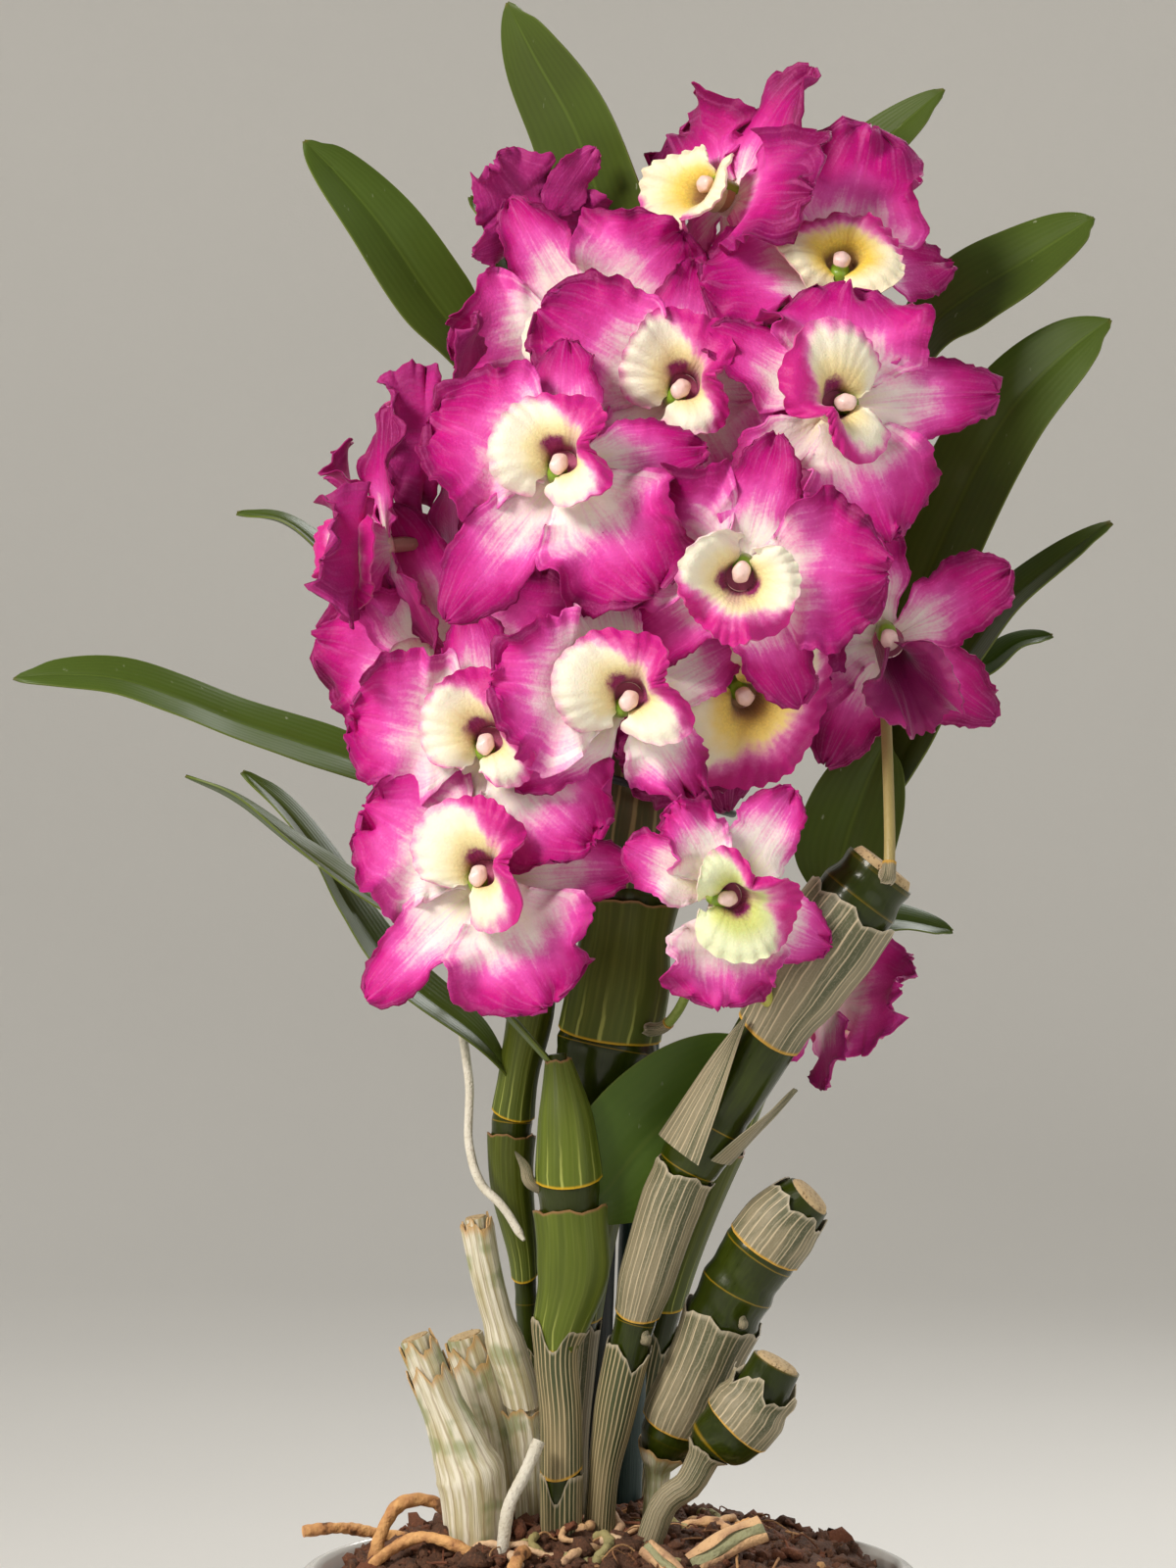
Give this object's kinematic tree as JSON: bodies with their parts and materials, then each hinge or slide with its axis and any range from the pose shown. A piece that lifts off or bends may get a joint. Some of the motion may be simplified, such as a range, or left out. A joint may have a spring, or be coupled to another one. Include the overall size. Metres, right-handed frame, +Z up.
{
  "type": "potted dendrobium orchid",
  "caption": "Dendrobium nobile type orchid in a round white pot: leafy and cut canes, stakes, and a dense head of ruffled magenta blooms with cream and yellow lips.",
  "frame": {"origin": "middle of the pot's flat underside, on the floor", "axes": "+Z up along the pot's axis, -Y towards the showy side of the blooms, +X to the viewer's right"},
  "size_m": [0.2844, 0.161, 0.5423],
  "materials": {
    "pot": "white glaze, gloss",
    "potting_mix": "loose bark and soil, matt",
    "living_cane": "green stems, sheaths and leaves, satin",
    "dry_cane": "papery dry sheaths, matt",
    "root": "corky, matt",
    "stake": "plastic coated, satin",
    "ring": "satin",
    "petals": "soft velvet, magenta to white",
    "lip": "soft velvet, cream and yellow"
  },
  "bodies": {
    "root": {"pot": "pot", "potting_mix": "potting_mix", "cane_main": "living_cane", "cane_front": "living_cane", "cane_left": "living_cane", "cane_back": "living_cane", "cane_right_cut": "dry_cane", "cane_cut_middle": "dry_cane", "cane_cut_small": "dry_cane", "dry_stub_left": "dry_cane", "dry_stub_middle": "dry_cane", "dry_stub_tall": "dry_cane", "split_stub": "dry_cane", "small_stub": "dry_cane", "aerial_root_long": "root", "aerial_root_short": "root", "surface_root_rim": "root", "surface_root_arch": "root", "surface_root_low": "root", "surface_root_front": "root", "stake_dark": "stake", "stake_green": "stake", "support_ring": "ring", "bloom_01_petals": "petals", "bloom_01_lip": "lip", "bloom_02_petals": "petals", "bloom_02_lip": "lip", "bloom_03_petals": "petals", "bloom_03_lip": "lip", "bloom_04_petals": "petals", "bloom_04_lip": "lip", "bloom_05_petals": "petals", "bloom_05_lip": "lip", "bloom_06_petals": "petals", "bloom_06_lip": "lip", "bloom_07_petals": "petals", "bloom_07_lip": "lip", "bloom_08_petals": "petals", "bloom_08_lip": "lip", "bloom_09_petals": "petals", "bloom_09_lip": "lip", "bloom_10_petals": "petals", "bloom_10_lip": "lip", "bloom_11_petals": "petals", "bloom_11_lip": "lip", "bloom_12_petals": "petals", "bloom_12_lip": "lip", "bloom_13_petals": "petals", "bloom_13_lip": "lip", "bloom_14_petals": "petals", "bloom_14_lip": "lip", "bloom_15_petals": "petals", "bloom_15_lip": "lip", "bloom_16_petals": "petals", "bloom_16_lip": "lip", "bloom_17_petals": "petals", "bloom_17_lip": "lip", "bloom_18_petals": "petals", "bloom_18_lip": "lip"}
  },
  "joints": []
}
